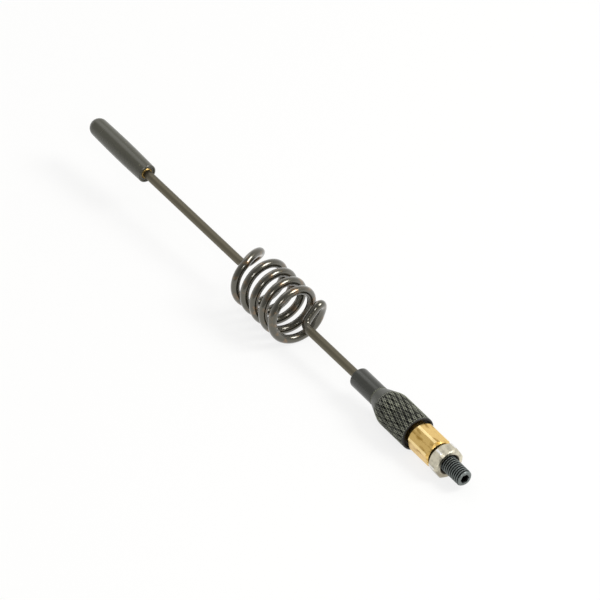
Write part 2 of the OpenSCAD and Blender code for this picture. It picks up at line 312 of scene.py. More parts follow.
class Finish(Nodes):
    """One material, with patterns that follow the mast's own frame."""

    def __init__(self, name, **uniform):
        self.material = bpy.data.materials.new(name)
        self.material.use_nodes = True
        super().__init__(self.material.node_tree)
        self.shader = self.tree.nodes["Principled BSDF"]
        self.dress(**uniform)
        modelled = self.node("ShaderNodeTexCoord", {}, {}, "Object")
        laid = {"Vector": modelled, "Location": MAST.translation, "Rotation": MAST.to_euler()}
        self.place = self.node("ShaderNodeMapping", {"vector_type": "TEXTURE"}, laid)

    def part_of_place(self, axis):
        """One coordinate along the mast's own axes."""
        return self.node("ShaderNodeSeparateXYZ", {}, {"Vector": self.place}, axis)

    def from_mast_line(self):
        """Distance from the mast line."""
        across = self.node(
            "ShaderNodeVectorMath", {"operation": "MULTIPLY"}, {0: self.place, 1: (1, 1, 0)})
        return self.node("ShaderNodeVectorMath", {"operation": "LENGTH"}, {0: across}, "Value")

    def pattern(self, name):
        """One of the noise patterns, from 0 to 1."""
        fineness, detail, drawn_out = PATTERNS[name]
        where = self.place
        if drawn_out:
            where = self.node("ShaderNodeMapping", {}, {"Vector": where, "Scale": drawn_out})
        values = {"Vector": where, "Scale": fineness, "Detail": detail}
        return self.node("ShaderNodeTexNoise", {}, values, "Fac")

    def dress(self, **values):
        """Feeds the surface's own sockets, with signals or with values."""
        for name, value in values.items():
            self.put(self.shader.inputs[name.replace("_", " ")], value)

    def bump(self, height, strength):
        """Fine relief that feeds the surface's normal."""
        values = {"Height": height, "Strength": strength, "Distance": RELIEF}
        self.dress(Normal=self.node("ShaderNodeBump", {}, values, "Normal"))


def shade(colour, *factors):
    """A colour times one factor, or times a factor for each channel."""
    if len(factors) == 1:
        factors *= 3
    return tuple(level * factor for level, factor in zip(colour, factors))


def whiten(colour, power):
    """A colour brought nearer to white, the more so the smaller the power."""
    return tuple(level ** power for level in colour)


def bronze_finish(colours, bent_half):
    """Dark bronze plate, satin on the rods, darker and glossy on the coil and its legs."""
    finish = Finish("dark_bronze_plate", Metallic=1.0, Coat_Roughness=0.07, Coat_IOR=1.7)
    drawn = finish.pattern("wire_drawing")
    along = finish.part_of_place("Z")
    from_middle = along.maths("ABSOLUTE", along) * (1 / (2 * bent_half))
    coil = finish.ramp(from_middle, (0.5, 1), (0.62, 0))
    plate = finish.mix(coil, tuple(colours.bronze), shade(colours.bronze, 0.52, 0.53, 0.5))
    warm = shade(colours.bronze, 1.5, 0.95, 0.5)
    tint = finish.ramp(finish.pattern("clouds"), (0.54, 0), (0.68, 1)) * coil * 0.7
    finish.dress(
        Base_Color=finish.mix(tint, plate, warm),
        Roughness=0.42 - coil * 0.2 + drawn * 0.08,
        Coat_Weight=coil)
    finish.bump(drawn, 0.12)
    return finish.material


# The pale specks on the cap: cells to a metre, the radius of a speck in cells, and the level
# of the noise above which a cell shows its speck
SPECK_FINENESS = 420
SPECK_RADIUS = 0.09
SPECK_LEVEL = 0.54


def cap_finish(colours):
    """Black anodising on the cap, with a few pale specks and fine turning marks."""
    finish = Finish("anodised_cap_black", Specular_IOR_Level=0.6)
    base = tuple(colours.cap_black)
    turned = finish.pattern("turning")
    worn = finish.pattern("wear")
    from_speck = finish.node(
        "ShaderNodeTexVoronoi", {}, {"Vector": finish.place, "Scale": SPECK_FINENESS}, "Distance")
    shown = finish.pattern("speck_groups") > SPECK_LEVEL
    specks = (from_speck < SPECK_RADIUS) * shown * 0.5
    dull = shade(base, 0.75)
    pale = shade(base, 3.5)
    finish.dress(
        Base_Color=finish.mix(specks, finish.mix(worn, dull, base), pale),
        Roughness=0.2 + worn * 0.08 + turned * 0.04)
    finish.bump(turned, 0.1)
    return finish.material


# Length over which the shoulder's cone turns into the barrel, for the finish
SHOULDER_BLEND = 1.6 * MM
# A painted highlight, a thin light ring at the step at the foot of the neck: how far past the step
# its middle lies, and half its width
STEP_HIGHLIGHT_PAST = 0.1 * MM
STEP_HIGHLIGHT_HALF = 0.12 * MM


def grip_finish(colours, form):
    """Black anodised aluminium, with painted shade in the knurl's hollows and rim, painted
    highlights on its worn crests and at the neck's foot.
    """
    finish = Finish("anodised_grip_black", Specular_IOR_Level=0.6)
    base = tuple(colours.grip_black)
    along = finish.part_of_place("Z")
    ahead = form.barrel_z - along
    short = ahead.maths("SMOOTH_MAX", ahead, 0, SHOULDER_BLEND)
    below = form.full_r - short * form.slope - finish.from_mast_line()
    depth = below * (1 / form.sizes.knurl_depth) + finish.pattern("rough_edge") * 0.1 - 0.05
    run_out_z = form.barrel_z - form.sizes.knurl_run_out + KNURL_FADE / 2
    knurled = (along > run_out_z) * (along < form.bevel_z)
    # painted shade: the knurl's hollows, and the rim past the bevel beside the brass, are darkened
    # to near black
    hollow_shade = finish.ramp(depth, (0.14, 0), (0.42, 1)) * knurled + (along > form.bevel_z)
    # the crests are partly worn bare and partly painted lighter as highlights, in random patches
    bright = finish.ramp(finish.pattern("crest_wear_and_sheen"), (0.4, 0.4), (0.6, 1))
    # painted highlight: a thin light ring at the step, added to the crests' lightness
    step_highlight = along.maths("COMPARE", along, form.shoulder_z + STEP_HIGHLIGHT_PAST, STEP_HIGHLIGHT_HALF)
    crest = finish.ramp(depth, (0.05, 1), (0.17, 0)) * knurled * bright + step_highlight * 0.4
    worn = finish.pattern("wear")
    neck = along < form.shoulder_z
    plain = finish.mix(neck, finish.mix(worn, shade(base, 0.85), base), shade(base, 0.45))
    # deep is the near-black colour of that painted shade
    deep = shade(base, 0.04)
    # pale crest colour: worn metal and painted highlight
    bare_and_lit = shade(base, 8, 8, 8.4)
    finish.dress(
        Base_Color=finish.mix(crest, finish.mix(hollow_shade, plain, deep), bare_and_lit),
        Roughness=0.3 + worn * 0.08 + hollow_shade * 0.3 - neck * 0.1)
    finish.bump(finish.pattern("turning"), 0.1)
    return finish.material


def bush_finish(colours):
    """Dark brown brass, with patches of solder flux."""
    finish = Finish("dark_brass", Metallic=1.0)
    flux = finish.ramp(finish.pattern("flux"), (0.4, 0), (0.62, 1))
    dull = shade(colours.brass, 0.45)
    brown = shade(colours.brass_stain, 0.35)
    finish.dress(Base_Color=finish.mix(flux, dull, brown), Roughness=0.34 + flux * 0.2)
    return finish.material


# Outside this share of the adapter's corner radius the brass is turned, and painted lighter there
# as a highlight along the corners
TURNED_SHARE = 0.998


def brass_finish(colours, corner_r):
    """Machined brass with drawing marks along the bar, brown stains, and a painted highlight on
    its turned corners.
    """
    finish = Finish("machined_brass", Metallic=1.0)
    drawn = finish.pattern("bar_drawing")
    chatter = finish.pattern("chatter")
    stain = finish.ramp(finish.pattern("blotches") * 0.7 + drawn * 0.3, (0.5, 0), (0.62, 1))
    turned = finish.from_mast_line() > corner_r * TURNED_SHARE
    drawn_brass = finish.mix(stain, tuple(colours.brass), tuple(colours.brass_stain))
    finish.dress(
        # painted highlight: the turned corners are painted a paler brass
        Base_Color=finish.mix(turned, drawn_brass, whiten(colours.brass, 0.7)),
        Roughness=0.24 + stain * 0.16 + chatter * 0.06)
    finish.bump(drawn * 0.6 + chatter * 0.4, 0.25)
    return finish.material


# How far in from its corners the nut is painted lighter, a painted highlight along its edges
EDGE_LIT_WIDTH = 0.16 * MM
# Height over which the painted shade on the nut's underside thins out
UNDERSIDE_SHADE_HEIGHT = 4 * MM
# Colour of the painted shade on the nut's underside
NUT_UNDERSIDE_SHADE = (0.3, 0.26, 0.19)
# Colour of the painted shade in the countersink round the stud
NUT_SINK_SHADE = (0.09, 0.075, 0.055)


def nickel_finish(colours, bore_r, sink, corner_r):
    """Nickel plate with fine scratches, painted highlights on its corners, and painted shade round
    the stud and on its underside.
    """
    finish = Finish("nickel_plate", Metallic=1.0)
    scratches = finish.pattern("scratches")
    cloud = finish.pattern("clouds")
    from_line = finish.from_mast_line()
    worn = finish.ramp(cloud * 0.6 + scratches * 0.4, (0.46, 0), (0.64, 1))
    under_x = finish.part_of_place("X") * -math.sin(LEG_ROLL)
    under_y = finish.part_of_place("Y") * math.cos(LEG_ROLL)
    under = (under_x - under_y) * (1 / UNDERSIDE_SHADE_HEIGHT) + cloud * 0.4
    # painted shade: the nut is darker towards its underside, which faces the floor
    underside_shade = finish.ramp(under, (0.3, 0), (0.8, 0.75))
    # painted shade: the countersink round the stud is darkened
    sink_shade = finish.ramp((from_line - bore_r) * (1 / (2 * sink)), (0.52, 1), (0.75, 0))
    plate = finish.mix(worn, tuple(colours.nickel), shade(colours.nickel, 0.6))
    # painted highlight: the nut's corners are painted a paler nickel
    edge_lit = finish.mix(from_line > corner_r - EDGE_LIT_WIDTH, plate, whiten(colours.nickel, 0.2))
    finish.dress(
        Base_Color=finish.mix(sink_shade, finish.mix(underside_shade, edge_lit, NUT_UNDERSIDE_SHADE), NUT_SINK_SHADE),
        Roughness=0.24 + scratches * 0.14)
    finish.bump(scratches, 0.3)
    return finish.material


def oxide_finish(colours, crest_r, root_r, thread_end_z):
    """Black oxide with a bluish bloom on the crests of the thread, and painted shade in its roots.
    """
    finish = Finish("black_oxide", Metallic=0.85)
    cloud = finish.pattern("fine_clouds")
    plain = finish.mix(cloud, tuple(colours.oxide), shade(colours.oxide, 1.1, 1.22, 1.28))
    depth = (crest_r - finish.from_mast_line()) * (1 / (crest_r - root_r))
    in_thread = finish.part_of_place("Z") < thread_end_z
    # painted shade: the thread's roots are darkened to near black
    hollow_shade = finish.ramp(depth, (0.15, 0), (0.5, 1)) * in_thread
    finish.dress(
        Base_Color=finish.mix(hollow_shade, plain, shade(colours.oxide, 0.04)),
        Roughness=0.34 + cloud * 0.12 + hollow_shade * 0.2)
    return finish.material


# Mesh building


# Angles between faces that show as an edge, in degrees
TURNED_SHARP = 32
MILLED_SHARP = 10
WIRE_SHARP = 60


def keep_mesh(name, build, sharp_degrees):
    """Turns a bmesh into a smooth-shaded mesh with crisp edges."""
    bmesh.ops.recalc_face_normals(build, faces=build.faces)
    mesh = bpy.data.meshes.new(name)
    build.to_mesh(mesh)
    build.free()
    mesh.shade_smooth()
    mesh.set_sharp_from_angle(angle=math.radians(sharp_degrees))
    return mesh


def bridge(build, low, high):
    """Fills between two closed rings of vertices. A ring of one vertex is a pole."""
    steps = max(len(low), len(high))
    for step in range(steps):
        after = (step + 1) % steps
        corners = (
            low[step % len(low)], low[after % len(low)],
            high[after % len(high)], high[step % len(high)])
        build.faces.new(list(dict.fromkeys(corners)))


def lathe(name, rows, columns, loop=False, sharp_degrees=TURNED_SHARP):
    """A turned mesh. Each row gives the radius and the place along the mast at an angle.

    Angles are in degrees. A loop joins the last row to the first one.
    """
    build = bmesh.new()
    rings = []
    for row in rows:
        count = 1 if row(0)[0] == 0 else columns
        ring = []
        for column in range(count):
            degrees = 360 * column / columns
            radius, along = row(degrees)
            turn = math.radians(degrees)
            ring.append(build.verts.new((radius * math.cos(turn), radius * math.sin(turn), along)))
        rings.append(ring)
    for low, high in zip(rings, rings[1:]):
        bridge(build, low, high)
    if loop:
        bridge(build, rings[-1], rings[0])
    return keep_mesh(name, build, sharp_degrees)


def steady(radius, along):
    """A row that is the same all round."""
    return lambda degrees: (radius, along)


# Steps in the rounding of a corner, and the longest share of a side that it may take
SOFT_STEPS = 3
SOFT_SHARE = 0.45


def softened(corners, size):
    """Rows for an outline of radius and place, with all but its first and last corner rounded."""
    points = [Vector(corner) for corner in corners]
    rows = [points[0]]
    for before, corner, after in zip(points, points[1:], points[2:]):
        shorter = min((before - corner).length, (after - corner).length)
        cut = min(size, shorter * SOFT_SHARE)
        start = corner + (before - corner).normalized() * cut
        end = corner + (after - corner).normalized() * cut
        for step in range(SOFT_STEPS + 1):
            k = step / SOFT_STEPS
            rows.append((1 - k) ** 2 * start + 2 * k * (1 - k) * corner + k ** 2 * end)
    rows.append(points[-1])
    return [steady(point[0], point[1]) for point in rows]


def add_piece(mesh, node, material):
    """Places a piece on the mast, under its mesh's name, in the stead of its CAD node."""
    mesh.materials.append(material)
    mesh.transform(MAST)
    piece = bpy.data.objects.new(mesh.name, mesh)
    bpy.context.scene.collection.objects.link(piece)
    bodies = frame["record"]["behaviour"]["bodies"]
    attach(piece, next(body for body, nodes in bodies.items() if node in nodes))
    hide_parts(node)


# The mast wire

# Sides of the wire, and points along a turn of the coil, a hook and a bend
WIRE_SIDES = 28
TURN_STEPS = 72
HOOK_STEPS = 26
BEND_STEPS = 12
# Straight rod past the mouths of the cap and the grip
STRAIGHT_PAST = 1 * MM

# The two cranked ends of the coil, each with its sizes:
#   side       -1 toward the cap, 1 toward the grip
#   turn       angle where the coil is left, from the start or the end of its full turns
#   leg        angle of the leg round the mast line
#   more       how much further the leg reaches than the leg reach
#   out        how far the leg lies outside the coil's full turns
#   rake       how much further out the leg meets the mast line
#   lean       how far that point leans from the mast line
#   hook       length of the leg's outer end that is part of the hook
#   leg_pull   pull of the hook on the leg
#   coil_pull  pull of the hook on the coil
#   swell      how far the hook swells outward
UPPER_END = {
    "side": -1, "turn": 85, "leg": 6, "more": -0.3 * MM, "out": 3.05 * MM,
    "rake": 1.85 * MM, "lean": 0.33 * MM, "hook": 2.1 * MM, "leg_pull": 4.0 * MM,
    "coil_pull": 4.4 * MM, "swell": 1.35 * MM}
LOWER_END = {
    "side": 1, "turn": -44, "leg": 7, "more": 0.35 * MM, "out": 1.45 * MM,
    "rake": 0.65 * MM, "lean": -0.14 * MM, "hook": 2.45 * MM, "leg_pull": 3.1 * MM,
    "coil_pull": 4.6 * MM, "swell": 0.65 * MM}


def coil_half(sizes):
    """Half the length of the coil's full turns along the mast line."""
    return sizes.coil_pitch * sizes.coil_turns / 2


def coil_point(sizes, degrees):
    """A point on the middle of the coil's wire."""
    turn = math.radians(degrees)
    rise = sizes.coil_pitch * (degrees / 360 - sizes.coil_turns / 2)
    return Vector((sizes.coil_radius * math.cos(turn), sizes.coil_radius * math.sin(turn), rise))


def coil_way(sizes, degrees):
    """The direction of the coil's wire."""
    return (coil_point(sizes, degrees + 0.5) - coil_point(sizes, degrees - 0.5)).normalized()


def curve_points(controls, steps):
    """Points on the smooth curve with three or four control points."""
    points = []
    for step in range(steps + 1):
        k = step / steps
        layer = controls
        while len(layer) > 1:
            layer = [a.lerp(b, k) for a, b in zip(layer, layer[1:])]
        points.append(layer[0])
    return points


def cranked_end(sizes, end, turn):
    """The path from the mast line out along a leg and round onto the coil."""
    side = end["side"]
    leg_z = side * (coil_half(sizes) + end["out"])
    on_line = Vector((end["lean"], 0, leg_z + side * end["rake"]))
    leg = math.radians(end["leg"])
    reach = sizes.leg_reach + end["more"]
    corner = Vector((reach * math.cos(leg), reach * math.sin(leg), leg_z))
    outward = (corner - on_line).normalized()
    start = corner - outward * end["hook"]
    on_coil = coil_point(sizes, turn)
    off_coil = end["coil_pull"] * coil_way(sizes, turn) + Vector((0, 0, end["swell"]))
    before_bend = on_line + Vector((0, 0, side * sizes.leg_bend))
    bend = [before_bend, on_line, on_line + outward * sizes.leg_bend]
    hook = [start, start + outward * end["leg_pull"], on_coil + side * off_coil, on_coil]
    return curve_points(bend, BEND_STEPS) + curve_points(hook, HOOK_STEPS)[:-1]


def wire_path(sizes):
    """The middle of the wire from inside the cap to inside the adapter."""
    wire_start, wire_end = span("mast_wire")
    leave_cap = Vector((0, 0, span("tip_cap")[1] + STRAIGHT_PAST))
    reach_grip = Vector((0, 0, span("knurled_grip")[0] - STRAIGHT_PAST))
    first = UPPER_END["turn"]
    last = 360 * sizes.coil_turns + LOWER_END["turn"]
    steps = round(TURN_STEPS * (last - first) / 360)
    coil = [coil_point(sizes, first + (last - first) * step / steps) for step in range(steps + 1)]
    upper = cranked_end(sizes, UPPER_END, first)
    lower = cranked_end(sizes, LOWER_END, last)
    return [
        Vector((0, 0, wire_start)), leave_cap, *upper, *coil,
        *reversed(lower), reach_grip, Vector((0, 0, wire_end))]


def tube(name, path, radius, sides):
    """A round tube along a path, closed at both ends."""
    build = bmesh.new()
    rings = []
    side = Vector((1, 0, 0))
    for before, point, after in zip(path[:1] + path, path, path[1:] + path[-1:]):
        way = (after - before).normalized()
        side = (side - way * side.dot(way)).normalized()
        across = way.cross(side)
        turns = [2 * math.pi * step / sides for step in range(sides)]
        rings.append([
            build.verts.new(point + radius * (side * math.cos(turn) + across * math.sin(turn)))
            for turn in turns])
    for low, high in zip(rings, rings[1:]):
        bridge(build, low, high)
    build.faces.new(rings[0])
    build.faces.new(rings[-1])
    return keep_mesh(name, build, WIRE_SHARP)


class AERIAL_OT_mast_wire(bpy.types.Operator):
    """Sweep the wire along its rods, cranked legs and coil."""

    bl_idname = "aerial.mast_wire"
    bl_label = "Mast Wire"

    def execute(self, context):
        sizes = context.scene.aerial_wire
        mesh = tube("mast_wire_sprung", wire_path(sizes), sizes.diameter / 2, WIRE_SIDES)
        bent_half = coil_half(sizes) + UPPER_END["out"]
        material = bronze_finish(context.scene.aerial_colours, bent_half)
        add_piece(mesh, "mast_wire", material)
        return {"FINISHED"}


# The tip cap and its bush

CAP_COLUMNS = 96
NOSE_STEPS = 24
BARREL_STEPS = 24
# Bevel round the mouth, and the rounding of the edges there
CAP_LIP = 0.25 * MM
CAP_SOFT = 0.06 * MM
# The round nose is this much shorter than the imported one, whose facets reach less far aside
NOSE_SHORT = 0.01 * MM


def cap_rows(sizes):
    """The cap's outline: bore, mouth, slim barrel and round nose."""
    nose_z, mouth_z = span("tip_cap")
    full_r = reach("tip_cap")
    end_r = full_r - sizes.cap_taper / 2
    dome_z = nose_z + NOSE_SHORT + end_r
    bush_z = mouth_z - sizes.cap_mouth_depth
    bush_r = sizes.bush_diameter / 2
    floor_z = mouth_z - sizes.cap_bore_depth
    mouth_r = sizes.cap_mouth / 2
    lip_z = mouth_z - CAP_LIP
    inside = [
        (0, floor_z), (bush_r, floor_z), (bush_r, bush_z), (mouth_r, bush_z), (mouth_r, lip_z),
        (mouth_r + CAP_LIP / 2, mouth_z), (end_r - CAP_LIP, mouth_z), (end_r, lip_z)]
    barrel = []
    for step in range(1, BARREL_STEPS):
        k = step / BARREL_STEPS
        bulge = sizes.cap_taper / 2 * math.sin(math.pi * k)
        barrel.append(steady(end_r + bulge, lip_z + (dome_z - lip_z) * k))
    dome = []
    for step in range(NOSE_STEPS + 1):
        turn = math.pi / 2 * step / NOSE_STEPS
        radius = 0 if step == NOSE_STEPS else end_r * math.cos(turn)
        dome.append(steady(radius, dome_z - end_r * math.sin(turn)))
    return softened(inside, CAP_SOFT) + barrel + dome


class AERIAL_OT_tip_cap(bpy.types.Operator):
    """Turn the tip cap and give its bush its brass."""

    bl_idname = "aerial.tip_cap"
    bl_label = "Tip Cap and Bush"

    def execute(self, context):
        colours = context.scene.aerial_colours
        rows = cap_rows(context.scene.aerial_fittings)
        mesh = lathe("tip_cap_turned", rows, CAP_COLUMNS)
        add_piece(mesh, "tip_cap", cap_finish(colours))
        bush = frame["nodes"]["tip_bush"]
        bush.data.materials.clear()
        bush.data.materials.append(bush_finish(colours))
        return {"FINISHED"}


# The knurled grip

# Columns of the mesh to one knurl diamond, and height of its rows
KNURL_COLUMNS = 8
KNURL_ROW = 0.1 * MM
RIM_STEPS = 8
# Width that the step at the foot of the neck is softened over
STEP_SOFT = 0.08 * MM
# Every second row of hollows each way is shallower: its depth as a share of a deep row's,
# and how strongly the deep rows widen at its expense, from 0 to 1
HALF_DEEP = 0.6
WIDER = 0.32
# From the ridge round a hollow, at 0, to its middle, at 1: where its wall starts and ends
WALL_START = 0.08
WALL_END = 0.5
# How unevenly the hollows were rolled, and the noise cells from one hollow to the next
KNURL_UNEVEN = 0.35
UNEVEN_CELLS = 1.3
# Length over which the knurl fades in on the shoulder and out at the barrel's rim
KNURL_FADE = 1.2 * MM
RIM_FADE = 0.25 * MM


def deep_wider(scale):
    """Shifts a knurl scale so that the even, deep rows on it are wider than the odd ones."""
    return scale - WIDER * math.sin(math.pi * scale) / math.pi


class GripForm:
    """The outside of the grip, from its sizes and its place on the mast."""

    def __init__(self, sizes):
        self.sizes = sizes
        self.mouth_z, self.end_z = span("knurled_grip")
        self.full_r = reach("knurled_grip")
        self.neck_r = sizes.neck_diameter / 2
        self.shoulder_z = self.mouth_z + sizes.neck_length
        self.barrel_z = self.shoulder_z + sizes.shoulder_length
        rise = self.full_r - self.neck_r + sizes.shoulder_step
        self.slope = rise / sizes.shoulder_length
        lean = math.atan(self.slope)
        self.arc_end_z = self.barrel_z + sizes.shoulder_round * math.tan(lean / 2)
        self.arc_start_z = self.arc_end_z - sizes.shoulder_round * math.sin(lean)
        self.bevel_z = self.end_z - sizes.bevel

    def smooth(self, along):
        """Radius of the turned form before it is knurled."""
        if along > self.bevel_z:
            return self.full_r - (along - self.bevel_z)
        if along > self.arc_end_z:
            return self.full_r
        if along > self.arc_start_z:
            arc_r = self.sizes.shoulder_round
            short = self.arc_end_z - along
            return self.full_r - arc_r + math.sqrt(arc_r ** 2 - short ** 2)
        return self.full_r - (self.barrel_z - along) * self.slope

    def hollow(self, a, b):
        """How deep the knurl is, from 0 to 1, at a place on its two slanting scales."""
        a, b = deep_wider(a), deep_wider(b)
        middle_a, middle_b = round(a), round(b)
        inward = 1 - 2 * max(abs(a - middle_a), abs(b - middle_b))
        wall = min(1, max(0, (inward - WALL_START) / (WALL_END - WALL_START)))
        share = HALF_DEEP ** (middle_b % 2 + middle_a % 2)
        column = (middle_a + middle_b) % (2 * self.sizes.knurl_count)
        cell = Vector((column, middle_a - middle_b, 0.5)) * UNEVEN_CELLS
        return wall * share * (1 - KNURL_UNEVEN * noise.cell(cell))

    def knurl(self, degrees, along):
        """Radius of the knurled form: long hollows between two sets of crossing ridges."""
        u = degrees * self.sizes.knurl_count / 360
        v = (along - self.bevel_z) / self.sizes.knurl_pitch + 0.5
        fade_in = (along - self.barrel_z + self.sizes.knurl_run_out) / KNURL_FADE
        fade_out = (self.bevel_z - along) / RIM_FADE
        fade = max(0, min(1, fade_in, fade_out))
        return self.smooth(along) - self.sizes.knurl_depth * fade * self.hollow(u + v, u - v)

    def rows(self):
        """The whole outline: neck, shoulder, barrel, recess and the hole for the wire."""
        sizes = self.sizes
        hole_r = wire_hole_radius()
        spigot_r = bpy.context.scene.aerial_fittings.spigot_diameter / 2
        recess_r, recess_z = sizes.recess_diameter / 2, self.end_z - sizes.recess_depth
        spigot_z = span("hex_adapter")[0]
        rows = [steady(hole_r, self.mouth_z)]
        for step in range(RIM_STEPS + 1):
            turn = math.pi / 2 * step / RIM_STEPS
            rows.append(steady(
                self.neck_r - sizes.neck_round * (1 - math.sin(turn)),
                self.mouth_z + sizes.neck_round * (1 - math.cos(turn))))
        rows += [
            steady(self.neck_r, self.shoulder_z - STEP_SOFT),
            steady(self.neck_r - STEP_SOFT, self.shoulder_z),
            steady(self.smooth(self.shoulder_z), self.shoulder_z)]
        fine = round((self.end_z - self.shoulder_z) / KNURL_ROW)
        for step in range(1, fine + 1):
            along = self.shoulder_z + (self.end_z - self.shoulder_z) * step / fine
            rows.append(lambda degrees, along=along: (self.knurl(degrees, along), along))
        rows += [
            steady(recess_r, self.end_z),
            steady(recess_r, recess_z),
            steady(spigot_r, recess_z),
            steady(spigot_r, spigot_z),
            steady(hole_r, spigot_z)]
        return rows


# Clearance round the wire in its holes
SEAT_GAP = 0.02 * MM


def wire_hole_radius():
    """Radius of the holes that the mast wire passes through."""
    return bpy.context.scene.aerial_wire.diameter / 2 + SEAT_GAP


class AERIAL_OT_knurled_grip(bpy.types.Operator):
    """Turn the grip and roll its knurl."""

    bl_idname = "aerial.knurled_grip"
    bl_label = "Knurled Grip"

    def execute(self, context):
        sizes = context.scene.aerial_grip
        colours = context.scene.aerial_colours
        form = GripForm(sizes)
        columns = sizes.knurl_count * KNURL_COLUMNS
        mesh = lathe("knurled_grip_turned", form.rows(), columns, loop=True)
        add_piece(mesh, "knurled_grip", grip_finish(colours, form))
        return {"FINISHED"}


# The six-sided adapter and lock nut

# Columns of the mesh round a six-sided piece, a multiple of six
HEX_COLUMNS = 360
# Bevel at the mouth of the adapter's threaded hole
HOLE_LEAD = 0.25 * MM


def hex_radius(flats, degrees, turn):
    """Radius of a six-sided bar at an angle, with its corners at the turn."""
    from_flat = (degrees - math.degrees(turn)) % 60 - 30
    return flats / 2 / math.cos(math.radians(from_flat))


def thread_hole_radius(sizes):
    """Radius of the threaded holes, which are left plain."""
    return sizes.thread_diameter / 2 + sizes.thread_gap


def hex_rows(sizes, flats, low, high, turn, corner_r=math.inf):
    """Rows of a six-sided bar with bevelled ends, whose corners may be turned down."""
    end_r = flats / 2 - sizes.hex_bevel
    slope = math.tan(sizes.bevel_angle)

    def body_r(degrees):
        return min(hex_radius(flats, degrees, turn), corner_r)

    def lower_edge(degrees):
        return body_r(degrees), low + (body_r(degrees) - end_r) * slope

    def upper_edge(degrees):
        return body_r(degrees), high - (body_r(degrees) - end_r) * slope

    return [steady(end_r, low), lower_edge, upper_edge, steady(end_r, high)]


class AERIAL_OT_hex_adapter(bpy.types.Operator):
    """Mill the six-sided adapter with its collar, spigot and threaded hole."""

    bl_idname = "aerial.hex_adapter"
    bl_label = "Hex Adapter"

    def execute(self, context):
        sizes = context.scene.aerial_fittings
        grip = context.scene.aerial_grip
        spigot_z, end_z = span("hex_adapter")
        wire_end_z = span("mast_wire")[1]
        stud_z = span("threaded_stud")[0]
        recess_z = span("knurled_grip")[1] - grip.recess_depth
        hex_z = end_z - sizes.hex_length
        wire_r = wire_hole_radius()
        spigot_r = sizes.spigot_diameter / 2
        collar_r = sizes.collar_diameter / 2
        corner_r = sizes.hex_corners / 2
        bore_r = thread_hole_radius(sizes)
        above = [
            (0, wire_end_z), (wire_r, wire_end_z), (wire_r, spigot_z), (spigot_r, spigot_z),
            (spigot_r, recess_z), (collar_r, recess_z), (collar_r, hex_z)]
        below = [
            (bore_r + HOLE_LEAD, end_z), (bore_r, end_z - HOLE_LEAD), (bore_r, stud_z),
            (0, stud_z)]
        rows = [steady(*point) for point in above]
        rows += hex_rows(sizes, sizes.hex_flats, hex_z, end_z, sizes.hex_turn, corner_r)
        rows += [steady(*point) for point in below]
        mesh = lathe("hex_adapter_milled", rows, HEX_COLUMNS, sharp_degrees=MILLED_SHARP)
        material = brass_finish(context.scene.aerial_colours, corner_r)
        add_piece(mesh, "hex_adapter", material)
        return {"FINISHED"}


class AERIAL_OT_lock_nut(bpy.types.Operator):
    """Mill the lock nut."""

    bl_idname = "aerial.lock_nut"
    bl_label = "Lock Nut"

    def execute(self, context):
        sizes = context.scene.aerial_fittings
        low, high = span("lock_nut")
        bore_r = thread_hole_radius(sizes)
        sink = sizes.nut_sink
        rows = [
            steady(bore_r, high - sink), steady(bore_r, low + sink), steady(bore_r + sink, low)]
        rows += hex_rows(sizes, sizes.nut_flats, low, high, sizes.nut_turn)
        rows += [steady(bore_r + sink, high)]
        mesh = lathe("lock_nut_milled", rows, HEX_COLUMNS, loop=True, sharp_degrees=MILLED_SHARP)
        corner_r = sizes.nut_flats / math.sqrt(3)
        material = nickel_finish(context.scene.aerial_colours, bore_r, sink, corner_r)
        add_piece(mesh, "lock_nut", material)
        return {"FINISHED"}


# The threaded stud

THREAD_COLUMNS = 72
# Rows of the mesh to one turn of the thread
THREAD_STEPS = 16
# Depth of the thread, its flat crest and its flat root, as shares of its pitch
THREAD_DEPTH = 0.58
THREAD_CREST = 0.22
THREAD_ROOT = 0.2
# Depth of the drilled point below the key hole's floor, as a share of the key's width
KEY_POINT = 1 / 6


def thread_depth(turns):
    """How deep the thread is cut, from 0 at its crest to 1 at its root, by turns along it."""
    off = abs(turns - round(turns)) * 2
    return min(1, max(0, (off - THREAD_CREST) / (1 - THREAD_CREST - THREAD_ROOT)))


class AERIAL_OT_threaded_stud(bpy.types.Operator):
    """Cut the stud with its thread and key hole."""

    bl_idname = "aerial.threaded_stud"
    bl_label = "Threaded Stud"

    def execute(self, context):
        sizes = context.scene.aerial_fittings
        low, high = span("threaded_stud")
        full_r = sizes.thread_diameter / 2
        end_r = full_r - sizes.stud_bevel
        pitch = sizes.thread_pitch
        floor_z = high - sizes.key_depth

        def thread(degrees, along):
            cut = thread_depth(along / pitch - degrees / 360) * pitch * THREAD_DEPTH
            limit = end_r + min(along - low, high - along)
            return min(full_r - cut, limit), along

        def key(along):
            return lambda degrees: (hex_radius(sizes.key_flats, degrees, sizes.nut_turn), along)

        steps = round((high - low) / pitch * THREAD_STEPS)
        places = [low + (high - low) * step / steps for step in range(1, steps)]
        rows = [steady(0, low), steady(end_r, low)]
        rows += [lambda degrees, along=along: thread(degrees, along) for along in places]
        point_z = floor_z - sizes.key_flats * KEY_POINT
        rows += [steady(end_r, high), key(high), key(floor_z), steady(0, point_z)]
        mesh = lathe("threaded_stud_cut", rows, THREAD_COLUMNS)
        root_r = full_r - pitch * THREAD_DEPTH
        bevel_z = high - sizes.stud_bevel
        material = oxide_finish(context.scene.aerial_colours, full_r, root_r, bevel_z)
        add_piece(mesh, "threaded_stud", material)
        return {"FINISHED"}


# The stage

FLOOR_SIZE = 3.0
FLOOR_WHITE = (0.9, 0.893, 0.86)
